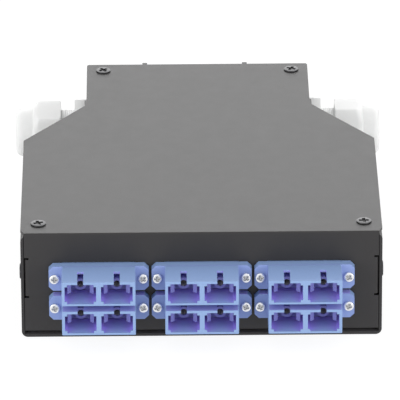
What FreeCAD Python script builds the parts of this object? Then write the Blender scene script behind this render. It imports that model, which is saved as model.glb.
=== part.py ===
import FreeCAD, Part
import math
import os
from FreeCAD import Vector

# A slim steel box that snaps onto a 35 mm top-hat rail and patches twelve optical fibres.
# A folded lid carries the top and the front panel with six duplex adapters. A folded base
# carries the two cable glands, the rail clip and the splice tray.
# Frame: X across the front, Y from the front panel to the rail, Z up, in millimetres.
# The origin is on the underside of the base, at the middle of its width and depth.

# Folded sheet
SHEET = 1.0                  # steel sheet of the base and the lid
BASE_BEND = 2.2              # outside radius of the base's folds
LID_BEND = 0.5               # outside radius of the lid's tight folds

# Case
CASE_WIDTH = 126.6
CASE_DEPTH = 147.8
CASE_HEIGHT = 40.0
SHOULDER_DEPTH = 79.5        # length of the straight sides, from the front
NECK_DEPTH = 36.8            # length of the narrow part, from the rear edge of the lid
NECK_WIDTH = 81.8            # over the lips of the lid
REAR_SETBACK = 0.3           # rear wall of the base behind the lid's rear edge
FOLD_FLANGE = 11.0           # inward flange along the top of the base's walls
SLIT = 0.8                   # saw-cut gaps between flaps at the folded corners

# Lid and front panel
PANEL_SIDE_GAP = 0.2         # between the front panel and the side walls
PANEL_BOTTOM_GAP = 1.5       # between the front panel and the bottom plate
PANEL_BACK_GAP = 0.8         # between the front panel and the base's flanges
LID_CORNER_CUT = 2.8         # length of the cut-off front corners of the lid
LIP_HEIGHT = 7.0             # lips that hang over the neck's side walls
LIP_CLEARANCE = 0.2
LIP_END_GAP = 0.3            # lip stops short of the rear corner
EAR_WIDTH = 0.65             # flat ear that stands out beyond the lip at the neck's root
EAR_LENGTH = 4.5
TAB_HEIGHT = 14.0            # side tabs of the front panel
TAB_LENGTH = 12.0
TAB_MIDDLE_HEIGHT = 22.9
TAB_BEND = 1.2
TAB_SLIT = 0.75
TAB_SLIT_DEPTH = 1.6

# Low-head case screws
CASE_SCREW_RADIUS = 1.45
CASE_SCREW_LENGTH = 6.0
CASE_SCREW_HEAD_RADIUS = 2.7
CASE_SCREW_HEAD_HEIGHT = 0.6
CASE_SCREW_RECESS = 0.4
SCREW_HOLE_CLEARANCE = 0.25
CLINCH_NUT_RADIUS = 2.75
CLINCH_NUT_HEIGHT = 2.4
THREAD_CLEARANCE = 0.05
LID_SCREW_FROM_SIDE = 6.25
LID_SCREW_FROM_FRONT = 8.0
LID_SCREW_FROM_REAR = 5.9
REAR_SCREW_FROM_SIDE = 6.1   # measured from the neck's side
SIDE_SCREW_FROM_FRONT = 6.0

# Duplex adapters
ADAPTER_COLUMNS = 3
ADAPTER_PITCH = 36.0
ROW_PITCH = 11.25
LOWER_ROW_HEIGHT = 12.85
ADAPTER_WIDTH = 25.7
ADAPTER_HEIGHT = 9.15
ADAPTER_NOSE = 13.0          # from the flange to each mouth
ADAPTER_FLANGE_WIDTH = 35.0
ADAPTER_FLANGE_HEIGHT = 9.25
ADAPTER_FLANGE_THICK = 3.2
ADAPTER_FLANGE_CORNER = 1.5
ADAPTER_EDGE = 0.35
PORT_PITCH = 12.7
PORT_WIDTH = 11.0
PORT_HEIGHT = 7.4
PORT_CORNER = 0.85
PORT_WEB = 1.0               # wall in the middle of each port
KEYWAY_WIDTH = 2.1
KEYWAY_LENGTH = 8.8
PANEL_CUTOUT_CLEARANCE = 0.3
ADAPTER_SCREW_SPACING = 31.0
ADAPTER_SCREW_RADIUS = 1.0
ADAPTER_SCREW_HEAD_RADIUS = 1.8
ADAPTER_SCREW_HEAD_HEIGHT = 1.1
ADAPTER_SCREW_RECESS = 0.6
ADAPTER_NUT_HEIGHT = 1.6
ADAPTER_NUT_FLATS = 4.0

# Latch inserts and alignment sleeves inside the adapters
INSERT_PLATE = 2.4
INSERT_CLEARANCE = 0.1
INSERT_TUBE_RADIUS = 2.15
INSERT_TUBE_LENGTH = 5.6     # from the web to the tube's mouth
INSERT_TUBE_LIP = 0.7        # narrower mouth that keeps the sleeve in
ARM_LENGTH = 9.8             # from the web to the tip of a latch arm
ARM_THICK = 0.9
ARM_HEIGHT = 3.4
ARM_GAP = 7.4                # between the two arms of a port
ARM_HOOK = 0.45
SLEEVE_RADIUS = 1.6
SLEEVE_BORE = 1.25
SLEEVE_LENGTH = 10.6
SLEEVE_CLEARANCE = 0.05

# Cable glands
GLAND_FROM_REAR = 16.1       # from the rear edge of the lid
GLAND_THREAD_RADIUS = 8.0
GLAND_WALL_CLEARANCE = 0.2
GLAND_WASHER = 1.2
GLAND_WASHER_RADIUS = 10.6
GLAND_HEX_FLATS = 22.0
GLAND_HEX_THICK = 4.6
GLAND_HEX_ROUND = 12.5       # corners of the hexagon are turned down to this radius
GLAND_HEX_TURN = 5.75        # degrees from a corner straight up
GLAND_SHOWN_THREAD = 5.1     # bare thread between the hexagon and the cap nut
GLAND_INNER_LENGTH = 8.0     # thread inside the case
GLAND_BORE = 4.6
CAP_NUT_LENGTH = 16.6
CAP_NUT_FLATS = 20.3
CAP_NUT_ROUND = 11.6         # corners of the grip are turned down to this radius
CAP_NUT_GRIP = 10.3          # length of the hexagonal grip
CAP_NUT_EDGE = 0.5           # bevel at the grip's inner end
CAP_NUT_BEVEL = 2.3          # length of the bevel at its outer end
CAP_NUT_BEVEL_DEPTH = 1.6
CAP_NUT_COLLAR_RADIUS = 9.0
CAP_NUT_COLLAR_TAPER = 0.3
CAP_NUT_COLLAR_ROUND = 2.4
CAP_NUT_TURN_LEFT = 18.0     # degrees from a corner straight up
CAP_NUT_TURN_RIGHT = 26.75
CAP_NUT_THREAD_DEPTH = 8.6
CAP_NUT_THREAD_CLEARANCE = 0.15
CAP_NUT_MOUTH = 5.6
CAP_NUT_FACE = 2.4           # wall in front of the cone inside the nut
CLAW_START = 11.7            # from the outer face of the hexagon
CLAW_LENGTH = 5.0
CLAW_ROOT_RADIUS = 7.3
CLAW_TIP_RADIUS = 6.1
CLAW_SLOTS = 8
CLAW_SLOT_WIDTH = 0.8
SEAL_RADIUS = 4.95
SEAL_BORE_LEFT = 4.0         # the left gland takes the thicker cable
SEAL_BORE_RIGHT = 3.7
SEAL_LENGTH = 8.5
SEAL_CLEARANCE = 0.05
LOCKNUT_FLATS = 20.0
LOCKNUT_ROUND = 11.3
LOCKNUT_THICK = 4.0
LOCKNUT_CLEARANCE = 0.1

# Clip for a 35 mm top-hat rail, 1 mm thick at its edges
RAIL_WIDTH = 35.0
RAIL_EDGE = 1.0
RAIL_OFFSET = -0.9           # middle of the rail, off the case's middle
RAIL_CLEARANCE = 0.15
RAIL_BEHIND = 0.3            # slack between the rail's edge and the hooks
CLIP_SHEET = 1.8
CLIP_BEND_INSIDE = 0.5
CLIP_BOTTOM = 2.2
CLIP_FROM_TOP = 2.2          # below the top of the case
HOOK_REACH = 2.0             # how far the hooks reach behind the rail
HOOK_CUT = 2.0               # straight end of each hook, where its lip is cut away
BRACKET_SPAN = 14.0          # from the rail's middle to the free edge of the bracket
LATCH_GAP = 0.15             # running gap between bracket and latch
LATCH_SPAN = 11.0            # from the rail's middle to the free edge of the latch
LATCH_TRAVEL = 5.0
LATCH_TAB_HEIGHT = 9.0
LATCH_TAB_LENGTH = 14.0
LATCH_TAB_SLOT = 5.0
LATCH_TAB_SLOT_WIDTH = 2.2
LATCH_TAB_ROUND = 2.0
PRONG_GAP = 1.0              # cut between each hook and the release tab
RIVET_RADIUS = 2.0
RIVET_HEAD_RADIUS = 3.2
RIVET_HEAD_HEIGHT = 0.9
RIVET_CLEARANCE = 0.15
RIVET_FROM_EDGE = 7.0
RIVET_OFFSET = 2.5           # towards the fixed hook, so that the latch can travel
SPRING_RADIUS = 1.35         # middle of the wire
SPRING_WIRE = 0.5
SPRING_LENGTH = 15.0
SPRING_TURNS = 6
SPRING_CLEARANCE = 0.4
CLIP_SCREW_RADIUS = 1.45
CLIP_SCREW_HEAD_RADIUS = 2.6
CLIP_SCREW_LENGTH = 6.5
CLIP_SCREW_SPACING = 20.0
CLIP_SCREW_FROM_EDGE = 5.0
CLIP_NUT_FLATS = 5.5
CLIP_NUT_HEIGHT = 2.4

# Splice tray on four studs
TRAY_WIDTH = 104.0
TRAY_DEPTH = 56.0
TRAY_HEIGHT = 8.0
TRAY_WALL = 1.5
TRAY_ROUND = 12.0
TRAY_MIDDLE_DEPTH = 68.0     # behind the front panel
TRAY_STANDOFF = 5.0
TRAY_COVER = 1.5
TRAY_NECK = 12.0             # width of the fibre entries in the tray's walls
TRAY_STUD_INSET = 8.0
TRAY_BOSS_RADIUS = 3.5
DRUM_RADIUS = 16.0
DRUM_SPACING = 54.0
STUD_RADIUS = 1.45
STUD_HEAD_RADIUS = 2.4
STANDOFF_FLATS = 5.5
STUD_CLEARANCE = 0.2
TRAY_NUT_HEIGHT = 2.4
TRAY_NUT_FLATS = 5.5
STUD_STICK_OUT = 0.6
COMB_WIDTH = 40.0
COMB_DEPTH = 20.0
COMB_FLOOR = 1.0
COMB_RIB = 0.9
COMB_SLOTS = 6
COMB_HEIGHT = 4.5
COMB_CLEARANCE = 1.0         # to the winding drums

# Places worked out from those sizes
Y_FRONT = -CASE_DEPTH / 2
Y_REAR = CASE_DEPTH / 2
Y_WALL = Y_REAR - REAR_SETBACK
HALF_CASE = CASE_WIDTH / 2
HALF_NECK = NECK_WIDTH / 2
HALF_BASE_NECK = HALF_NECK - SHEET - LIP_CLEARANCE
HALF_PANEL = HALF_CASE - SHEET - PANEL_SIDE_GAP
Y_SHOULDER = Y_FRONT + SHOULDER_DEPTH
Y_NECK = Y_REAR - NECK_DEPTH
Z_FLANGE = CASE_HEIGHT - SHEET
PANEL_BOTTOM = SHEET + PANEL_BOTTOM_GAP
PANEL_ROOM = SHEET + PANEL_BACK_GAP
SCREW_HOLE = CASE_SCREW_RADIUS + SCREW_HOLE_CLEARANCE
ADAPTER_SCREW_HOLE = ADAPTER_SCREW_RADIUS + SCREW_HOLE_CLEARANCE
CLIP_SCREW_HOLE = CLIP_SCREW_RADIUS + SCREW_HOLE_CLEARANCE
Y_GLAND = Y_REAR - GLAND_FROM_REAR
Z_GLAND = CASE_HEIGHT / 2
CLIP_TOP = CASE_HEIGHT - CLIP_FROM_TOP
Z_CLIP = (CLIP_BOTTOM + CLIP_TOP) / 2
Z_UPPER_ROW = LOWER_ROW_HEIGHT + ROW_PITCH
Y_LATCH = Y_WALL + CLIP_SHEET + LATCH_GAP
Y_RAIL = Y_LATCH + CLIP_SHEET
Y_HOOK = Y_RAIL + RAIL_EDGE + RAIL_BEHIND
HOOK_FACE = RAIL_WIDTH / 2 + RAIL_CLEARANCE
CLIP_BEND = CLIP_SHEET + CLIP_BEND_INSIDE
X_AXIS = Vector(1, 0, 0)
Y_AXIS = Vector(0, 1, 0)
Z_AXIS = Vector(0, 0, 1)


def block(x0, x1, y0, y1, z0, z1):
    """A box between two values on each axis."""
    return Part.makeBox(x1 - x0, y1 - y0, z1 - z0, Vector(x0, y0, z0))


def rod(radius, start, direction, length):
    """A cylinder from a point, along a direction."""
    return Part.makeCylinder(radius, length, start, direction)


def join(shapes):
    """One solid from shapes that meet or overlap."""
    return shapes[0].multiFuse(shapes[1:]).removeSplitter()


def group(shapes):
    """Separate solids that share one node."""
    return Part.makeCompound(shapes)


def prism(points, run):
    """A flat outline carried along a vector."""
    return Part.Face(Part.makePolygon(points + points[:1])).extrude(run)


def plan(points, z0, z1):
    """An outline in plan, between two heights."""
    return prism([Vector(x, y, z0) for x, y in points], Vector(0, 0, z1 - z0))


def hexagon(flats, start, direction, length, turn=0):
    """A hexagonal bar, given by its width across the flats and the turn of its corners in degrees."""
    corner = flats / math.sqrt(3)
    side = X_AXIS if abs(direction.x) < 0.5 else Z_AXIS
    up = direction.cross(side)
    turns = [math.radians(60 * i + turn) for i in range(6)]
    points = [start + side * (corner * math.cos(t)) + up * (corner * math.sin(t)) for t in turns]
    return prism(points, direction * length)


def turned(profile, centre, direction):
    """A solid turned about an axis, from a wire of (along, radius) edges built in the XY plane."""
    solid = Part.Face(profile).revolve(Vector(0, 0, 0), X_AXIS, 360)
    solid.Placement = FreeCAD.Placement(centre, FreeCAD.Rotation(X_AXIS, direction))
    return solid


def polyline(points):
    """A closed wire of straight edges through (along, radius) points."""
    corners = [Vector(u, r, 0) for u, r in points]
    return Part.makePolygon(corners + corners[:1])


def fold(corner, leg_a, leg_b, run, thickness, outside):
    """A strip of sheet folded square: two legs from a sharp outer corner, carried along a vector.

    A fold with an outside radius below the thickness has a sharp inner corner.
    """
    a = Vector(leg_a).normalize()
    b = Vector(leg_b).normalize()
    middle = Vector(a + b).normalize()
    centre = corner + (a + b) * outside
    end_a, end_b = corner + leg_a, corner + leg_b
    outer_a, outer_b = corner + a * outside, corner + b * outside
    tip_a, tip_b = end_a + b * thickness, end_b + a * thickness
    edges = [
        Part.makeLine(tip_b, end_b),
        Part.makeLine(end_b, outer_b),
        Part.Arc(outer_b, centre - middle * outside, outer_a).toShape(),
        Part.makeLine(outer_a, end_a),
        Part.makeLine(end_a, tip_a),
    ]
    if outside > thickness:
        inner_a, inner_b = outer_a + b * thickness, outer_b + a * thickness
        edges.append(Part.makeLine(tip_a, inner_a))
        edges.append(Part.Arc(inner_a, centre - middle * (outside - thickness), inner_b).toShape())
        edges.append(Part.makeLine(inner_b, tip_b))
    else:
        inner = corner + (a + b) * thickness
        edges.append(Part.makeLine(tip_a, inner))
        edges.append(Part.makeLine(inner, tip_b))
    return Part.Face(Part.Wire(edges)).extrude(run)


def edges_along(solid, direction):
    """The straight edges of a box that run one way."""
    return [e for e in solid.Edges if abs(e.tangentAt(e.FirstParameter).dot(direction)) > 0.9]


def rounded_plan(width, depth, middle_y, radius, z0, z1):
    """A rectangle in plan with round corners, centred on X."""
    solid = block(-width / 2, width / 2, middle_y - depth / 2, middle_y + depth / 2, z0, z1)
    return solid.makeFillet(radius, edges_along(solid, Z_AXIS))


def shoulder_y(x):
    """Depth of the slanted edge of the case at a distance from the middle."""
    share = (HALF_CASE - x) / (HALF_CASE - HALF_NECK)
    return Y_SHOULDER + share * (Y_NECK - Y_SHOULDER)


# Where the screws go
lid_screw_places = [
    (side * x, y)
    for x, y in (
        (HALF_CASE - LID_SCREW_FROM_SIDE, Y_FRONT + LID_SCREW_FROM_FRONT),
        (HALF_NECK - REAR_SCREW_FROM_SIDE, Y_REAR - LID_SCREW_FROM_REAR),
    )
    for side in (-1, 1)
]
adapter_places = {
    f"{row}_{column}": (ADAPTER_PITCH * (i - (ADAPTER_COLUMNS - 1) / 2), z)
    for row, z in (("upper", Z_UPPER_ROW), ("lower", LOWER_ROW_HEIGHT))
    for i, column in enumerate(("left", "middle", "right"))
}
adapter_screw_places = [
    (x + side * ADAPTER_SCREW_SPACING / 2, z)
    for x, z in adapter_places.values()
    for side in (-1, 1)
]
clip_screw_places = [
    (RAIL_OFFSET + side * CLIP_SCREW_SPACING / 2, z)
    for side in (-1, 1)
    for z in (CLIP_BOTTOM + CLIP_SCREW_FROM_EDGE, CLIP_TOP - CLIP_SCREW_FROM_EDGE)
]
rivet_places = [
    (RAIL_OFFSET + RIVET_OFFSET, z)
    for z in (CLIP_BOTTOM + RIVET_FROM_EDGE, CLIP_TOP - RIVET_FROM_EDGE)
]
Y_TRAY = Y_FRONT + TRAY_MIDDLE_DEPTH
stud_places = [
    (sx * (TRAY_WIDTH / 2 - TRAY_STUD_INSET), Y_TRAY + sy * (TRAY_DEPTH / 2 - TRAY_STUD_INSET))
    for sx in (-1, 1)
    for sy in (-1, 1)
]


def side_place(side, x):
    """A point on the axis of one side screw, at a distance from the middle."""
    return Vector(side * x, Y_FRONT + SIDE_SCREW_FROM_FRONT, TAB_MIDDLE_HEIGHT)


def base_outline():
    """The outer outline of the base in plan, from the front left corner."""
    right = [
        (HALF_CASE, Y_FRONT),
        (HALF_CASE, Y_SHOULDER),
        (HALF_BASE_NECK, shoulder_y(HALF_BASE_NECK)),
        (HALF_BASE_NECK, Y_WALL),
    ]
    return right + [(-x, y) for x, y in reversed(right)]


def shrunk(points, inset, z0, z1):
    """The outline moved inwards by a distance, as a solid between two heights."""
    wire = Part.makePolygon([Vector(x, y, z0) for x, y in points + points[:1]])
    return Part.Face(wire.makeOffset2D(-inset, 2)).extrude(Vector(0, 0, z1 - z0))


def level_edges(solid, z, y_limit):
    """The level edges of a solid at a height, behind a depth."""
    return [
        e for e in solid.Edges
        if abs(e.BoundBox.ZMin - z) < 1e-6 and abs(e.BoundBox.ZMax - z) < 1e-6
        and e.BoundBox.YMax > y_limit
    ]


def base_tray():
    """Bottom, side, slanted, neck and rear walls of one folded sheet, open at the front and top."""
    outline = base_outline()
    outer = plan(outline, 0, Z_FLANGE)
    for z in (0, Z_FLANGE):
        outer = outer.makeFillet(BASE_BEND, level_edges(outer, z, Y_FRONT + SHEET))
    inner = shrunk(outline, SHEET, SHEET, Z_FLANGE - SHEET)
    for z in (SHEET, Z_FLANGE - SHEET):
        inner = inner.makeFillet(BASE_BEND - SHEET, level_edges(inner, z, Y_FRONT + 2 * SHEET))
    inside = HALF_CASE - SHEET
    mouth = block(-inside, inside, Y_FRONT - SHEET, Y_FRONT + 2 * SHEET, SHEET, CASE_HEIGHT)
    lid_room = block(-inside, inside, Y_FRONT - SHEET, Y_FRONT + PANEL_ROOM, Z_FLANGE / 2, CASE_HEIGHT)
    window = shrunk(outline, FOLD_FLANGE, Z_FLANGE - 2 * SHEET, CASE_HEIGHT)
    front_window = block(
        FOLD_FLANGE - HALF_CASE, HALF_CASE - FOLD_FLANGE, Y_FRONT, Y_SHOULDER,
        Z_FLANGE - 2 * SHEET, CASE_HEIGHT,
    )
    cuts = [inner, mouth, lid_room, window, front_window]
    # Saw cuts where the flange turns a corner
    for i in (1, 2, 3, 4, 5, 6):
        before, here, after = (Vector(*outline[j], 0) for j in (i - 1, i, i + 1))
        along = (after - here).normalize() - (here - before).normalize()
        turn = math.degrees(math.atan2(along.y, along.x))
        reach = FOLD_FLANGE * 2
        slit = block(-reach, reach, -SLIT / 2, SLIT / 2, Z_FLANGE - BASE_BEND, CASE_HEIGHT)
        slit.Placement = FreeCAD.Placement(here, FreeCAD.Rotation(Z_AXIS, turn))
        cuts.append(slit)
    for x, y in lid_screw_places:
        cuts.append(rod(SCREW_HOLE, Vector(x, y, Z_FLANGE - 2 * SHEET), Z_AXIS, 3 * SHEET))
    for side in (-1, 1):
        cuts.append(rod(SCREW_HOLE, side_place(side, HALF_CASE - 2 * SHEET), X_AXIS * side, 3 * SHEET))
        neck = Vector(side * (HALF_BASE_NECK - 2 * SHEET), Y_GLAND, Z_GLAND)
        cuts.append(rod(GLAND_THREAD_RADIUS + GLAND_WALL_CLEARANCE, neck, X_AXIS * side, 3 * SHEET))
    for x, z in clip_screw_places:
        cuts.append(rod(CLIP_SCREW_HOLE, Vector(x, Y_WALL - 2 * SHEET, z), Y_AXIS, 3 * SHEET))
    for x, y in stud_places:
        cuts.append(rod(STUD_HEAD_RADIUS, Vector(x, y, -SHEET), Z_AXIS, 3 * SHEET))
    return outer.cut(cuts)


def lid():
    """Top, front panel, side tabs and neck lips of one folded sheet."""
    flat_neck = HALF_NECK - LID_BEND
    ear = HALF_NECK + EAR_WIDTH
    ear_end = shoulder_y(ear) + EAR_LENGTH
    lip_start = ear_end + SHEET
    right = [
        (HALF_PANEL, Y_FRONT + LID_BEND),
        (HALF_CASE, Y_FRONT + LID_BEND + LID_CORNER_CUT),
        (HALF_CASE, Y_SHOULDER),
        (ear, shoulder_y(ear)),
        (ear, ear_end),
        (flat_neck, lip_start),
        (flat_neck, Y_REAR),
    ]
    top = plan(right + [(-x, y) for x, y in reversed(right)], Z_FLANGE, CASE_HEIGHT)
    panel = fold(
        Vector(-HALF_PANEL, Y_FRONT, CASE_HEIGHT), Y_AXIS * (2 * SHEET),
        Z_AXIS * (PANEL_BOTTOM - CASE_HEIGHT), X_AXIS * (2 * HALF_PANEL), SHEET, LID_BEND,
    )
    pieces = [top]
    tab_low = TAB_MIDDLE_HEIGHT - TAB_HEIGHT / 2
    tab_high = TAB_MIDDLE_HEIGHT + TAB_HEIGHT / 2
    notches = []
    for side in (-1, 1):
        edge = side * HALF_PANEL
        root = edge - side * TAB_SLIT_DEPTH
        notches.append(block(
            min(edge, root), max(edge, root), Y_FRONT - SHEET, Y_FRONT + 2 * SHEET,
            tab_low - TAB_SLIT, tab_high + TAB_SLIT,
        ))
        pieces.append(fold(
            Vector(edge, Y_FRONT, tab_low), X_AXIS * (-side * (TAB_SLIT_DEPTH + SHEET)), Y_AXIS * TAB_LENGTH,
            Z_AXIS * TAB_HEIGHT, SHEET, TAB_BEND,
        ))
        pieces.append(fold(
            Vector(side * HALF_NECK, lip_start, CASE_HEIGHT), X_AXIS * (-side * 2 * SHEET),
            Z_AXIS * -LIP_HEIGHT, Y_AXIS * (Y_REAR - LIP_END_GAP - lip_start), SHEET, LID_BEND,
        ))
    pieces.append(panel.cut(notches))
    sheet = join(pieces)
    holes = []
    half_width = ADAPTER_WIDTH / 2 + PANEL_CUTOUT_CLEARANCE
    half_height = ADAPTER_HEIGHT / 2 + PANEL_CUTOUT_CLEARANCE
    for x, z in adapter_places.values():
        holes.append(block(
            x - half_width, x + half_width, Y_FRONT - SHEET, Y_FRONT + 2 * SHEET,
            z - half_height, z + half_height,
        ))
    for x, z in adapter_screw_places:
        holes.append(rod(ADAPTER_SCREW_HOLE, Vector(x, Y_FRONT - SHEET, z), Y_AXIS, 3 * SHEET))
    for x, y in lid_screw_places:
        holes.append(rod(SCREW_HOLE, Vector(x, y, Z_FLANGE - SHEET), Z_AXIS, 3 * SHEET))
    for side in (-1, 1):
        holes.append(rod(SCREW_HOLE, side_place(side, HALF_PANEL - 2 * SHEET), X_AXIS * side, 3 * SHEET))
    return sheet.cut(holes)


def screw(seat, inward, radius, length, head_radius, head_height, recess):
    """A screw with a bevelled head and a cross recess, seated on a face and pointing into it."""
    out = inward * -1
    bevel = head_height / 3
    head = turned(
        polyline([
            (0, 0), (0, head_radius), (head_height - bevel, head_radius),
            (head_height, head_radius - bevel), (head_height, 0),
        ]),
        seat, out,
    )
    long_half, short_half = head_radius * 0.55, head_radius * 0.13
    cross = join([
        block(-long_half, long_half, -short_half, short_half, 0, head_height),
        block(-short_half, short_half, -long_half, long_half, 0, head_height),
    ])
    cross.Placement = FreeCAD.Placement(seat + out * (head_height - recess), FreeCAD.Rotation(Z_AXIS, out))
    return join([head, rod(radius, seat, inward, length)]).cut(cross)


def case_screw(seat, inward):
    return screw(
        seat, inward, CASE_SCREW_RADIUS, CASE_SCREW_LENGTH,
        CASE_SCREW_HEAD_RADIUS, CASE_SCREW_HEAD_HEIGHT, CASE_SCREW_RECESS,
    )


def clinch_nut(seat, away):
    """A round clinch nut on the hidden face of a sheet."""
    ring = rod(CLINCH_NUT_RADIUS, seat, away, CLINCH_NUT_HEIGHT)
    return ring.cut(rod(CASE_SCREW_RADIUS + THREAD_CLEARANCE, seat, away, CLINCH_NUT_HEIGHT))


def lid_screws():
    return group([case_screw(Vector(x, y, CASE_HEIGHT), Z_AXIS * -1) for x, y in lid_screw_places])


def lid_clinch_nuts():
    return group([clinch_nut(Vector(x, y, Z_FLANGE - SHEET), Z_AXIS * -1) for x, y in lid_screw_places])


def side_screws():
    return group([case_screw(side_place(s, HALF_CASE), X_AXIS * -s) for s in (-1, 1)])


def side_clinch_nuts():
    return group([clinch_nut(side_place(s, HALF_PANEL - SHEET), X_AXIS * -s) for s in (-1, 1)])


def port_outline(x, y, inset=0):
    """The stepped mouth of one port, in the plane of the front panel."""
    w, h, c = PORT_WIDTH / 2 - inset, PORT_HEIGHT / 2 - inset, PORT_CORNER
    quarter = [(w, h - c), (w - c, h - c), (w - c, h)]
    loop = quarter
    loop = loop + [(-px, pz) for px, pz in reversed(quarter)]
    loop = loop + [(-px, -pz) for px, pz in quarter]
    loop = loop + [(px, -pz) for px, pz in reversed(quarter)]
    return [Vector(x + px, y, pz) for px, pz in loop]


# Depths inside an adapter, from the face of the front panel
Y_MOUTH_FRONT = -ADAPTER_FLANGE_THICK - ADAPTER_NOSE
Y_MOUTH_REAR = ADAPTER_NOSE
Y_WEB = (Y_MOUTH_FRONT + Y_MOUTH_REAR) / 2
PORT_SIDES = (-PORT_PITCH / 2, PORT_PITCH / 2)


def adapter_housing():
    """A moulded duplex housing with a screw flange, about the middle of its flange's back face."""
    half_w, half_h = ADAPTER_WIDTH / 2, ADAPTER_HEIGHT / 2
    body = block(-half_w, half_w, Y_MOUTH_FRONT, Y_MOUTH_REAR, -half_h, half_h)
    body = body.makeFillet(ADAPTER_EDGE, body.Edges)
    fw, fh, fc = ADAPTER_FLANGE_WIDTH / 2, ADAPTER_FLANGE_HEIGHT / 2, ADAPTER_FLANGE_CORNER
    corners = [(fw, fh - fc), (fw - fc, fh), (fc - fw, fh), (-fw, fh - fc)]
    corners = corners + [(x, -z) for x, z in reversed(corners)]
    flange = prism([Vector(x, -ADAPTER_FLANGE_THICK, z) for x, z in corners], Y_AXIS * ADAPTER_FLANGE_THICK)
    cuts = []
    for x in PORT_SIDES:
        cuts.append(prism(port_outline(x, Y_MOUTH_FRONT), Y_AXIS * (Y_WEB - PORT_WEB / 2 - Y_MOUTH_FRONT)))
        cuts.append(prism(port_outline(x, Y_MOUTH_REAR), Y_AXIS * (Y_WEB + PORT_WEB / 2 - Y_MOUTH_REAR)))
        for y0, y1 in (
            (Y_MOUTH_FRONT, Y_MOUTH_FRONT + KEYWAY_LENGTH),
            (Y_MOUTH_REAR - KEYWAY_LENGTH, Y_MOUTH_REAR),
        ):
            cuts.append(block(x - KEYWAY_WIDTH / 2, x + KEYWAY_WIDTH / 2, y0, y1, 0, ADAPTER_HEIGHT))
        hole = SLEEVE_RADIUS + SLEEVE_CLEARANCE
        cuts.append(rod(hole, Vector(x, Y_WEB - PORT_WEB, 0), Y_AXIS, 2 * PORT_WEB))
    for side in (-1, 1):
        start = Vector(side * ADAPTER_SCREW_SPACING / 2, -2 * ADAPTER_FLANGE_THICK, 0)
        cuts.append(rod(ADAPTER_SCREW_HOLE, start, Y_AXIS, 3 * ADAPTER_FLANGE_THICK))
    return join([body, flange]).cut(cuts)


def latch_insert(x, facing):
    """A latch with two hooked arms and a sleeve tube, against the web and facing one mouth."""
    foot = Y_WEB + facing * PORT_WEB / 2
    plate = prism(port_outline(x, foot, INSERT_CLEARANCE), Y_AXIS * (facing * INSERT_PLATE))
    tube = rod(INSERT_TUBE_RADIUS, Vector(x, foot, 0), Y_AXIS * facing, INSERT_TUBE_LENGTH)
    pieces = [plate, tube]
    for side in (-1, 1):
        inner = ARM_GAP / 2
        outer = inner + ARM_THICK
        hook = ARM_HOOK
        profile = [
            (inner, 0), (outer, 0), (outer, ARM_LENGTH), (inner + hook, ARM_LENGTH),
            (inner - hook, ARM_LENGTH - 2 * hook), (inner - hook, ARM_LENGTH - 3 * hook),
            (inner, ARM_LENGTH - 3 * hook),
        ]
        points = [Vector(x + side * u, foot + facing * v, -ARM_HEIGHT / 2) for u, v in profile]
        pieces.append(prism(points, Z_AXIS * ARM_HEIGHT))
    start, out = Vector(x, foot, 0), Y_AXIS * facing
    bore = rod(SLEEVE_RADIUS + SLEEVE_CLEARANCE, start, out, INSERT_TUBE_LENGTH - INSERT_TUBE_LIP)
    mouth = rod(SLEEVE_BORE, start, out, INSERT_TUBE_LENGTH)
    return join(pieces).cut([bore, mouth])


def latch_inserts():
    return group([latch_insert(x, facing) for x in PORT_SIDES for facing in (-1, 1)])


def ferrule_sleeves():
    """The ceramic sleeves that line up two fibre ends, one in each port."""
    sleeves = []
    for x in PORT_SIDES:
        start = Vector(x, Y_WEB - SLEEVE_LENGTH / 2, 0)
        sleeve = rod(SLEEVE_RADIUS, start, Y_AXIS, SLEEVE_LENGTH)
        sleeves.append(sleeve.cut(rod(SLEEVE_BORE, start, Y_AXIS, SLEEVE_LENGTH)))
    return group(sleeves)


def placed(shape, x, z):
    """A copy of a piece at one adapter's place on the front panel."""
    copy = shape.copy()
    copy.translate(Vector(x, Y_FRONT, z))
    return copy


def adapter_screws():
    screws = []
    length = ADAPTER_FLANGE_THICK + SHEET + ADAPTER_NUT_HEIGHT
    for x, z in adapter_screw_places:
        screws.append(screw(
            Vector(x, Y_FRONT - ADAPTER_FLANGE_THICK, z), Y_AXIS, ADAPTER_SCREW_RADIUS, length,
            ADAPTER_SCREW_HEAD_RADIUS, ADAPTER_SCREW_HEAD_HEIGHT, ADAPTER_SCREW_RECESS,
        ))
    return group(screws)


def adapter_nuts():
    nuts = []
    for x, z in adapter_screw_places:
        seat = Vector(x, Y_FRONT + SHEET, z)
        nut = hexagon(ADAPTER_NUT_FLATS, seat, Y_AXIS, ADAPTER_NUT_HEIGHT)
        nuts.append(nut.cut(rod(ADAPTER_SCREW_RADIUS + THREAD_CLEARANCE, seat, Y_AXIS, ADAPTER_NUT_HEIGHT)))
    return group(nuts)


# Places along a gland, outwards from the neck's wall
U_HEX = GLAND_WASHER
U_THREAD = U_HEX + GLAND_HEX_THICK
U_NUT = U_THREAD + GLAND_SHOWN_THREAD
U_NUT_END = U_NUT + CAP_NUT_LENGTH
U_CLAW = U_THREAD + CLAW_START
U_CLAW_END = U_CLAW + CLAW_LENGTH
U_SEAL = U_CLAW_END - SEAL_LENGTH
SEAL_BORES = {-1: SEAL_BORE_LEFT, 1: SEAL_BORE_RIGHT}
CAP_NUT_TURNS = {-1: CAP_NUT_TURN_LEFT, 1: CAP_NUT_TURN_RIGHT}


def gland_point(side, u):
    return Vector(side * (HALF_BASE_NECK + u), Y_GLAND, Z_GLAND)


def gland_washer(side):
    out = X_AXIS * side
    ring = rod(GLAND_WASHER_RADIUS, gland_point(side, 0), out, GLAND_WASHER)
    return ring.cut(rod(GLAND_THREAD_RADIUS + GLAND_WALL_CLEARANCE, gland_point(side, 0), out, GLAND_WASHER))


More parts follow.
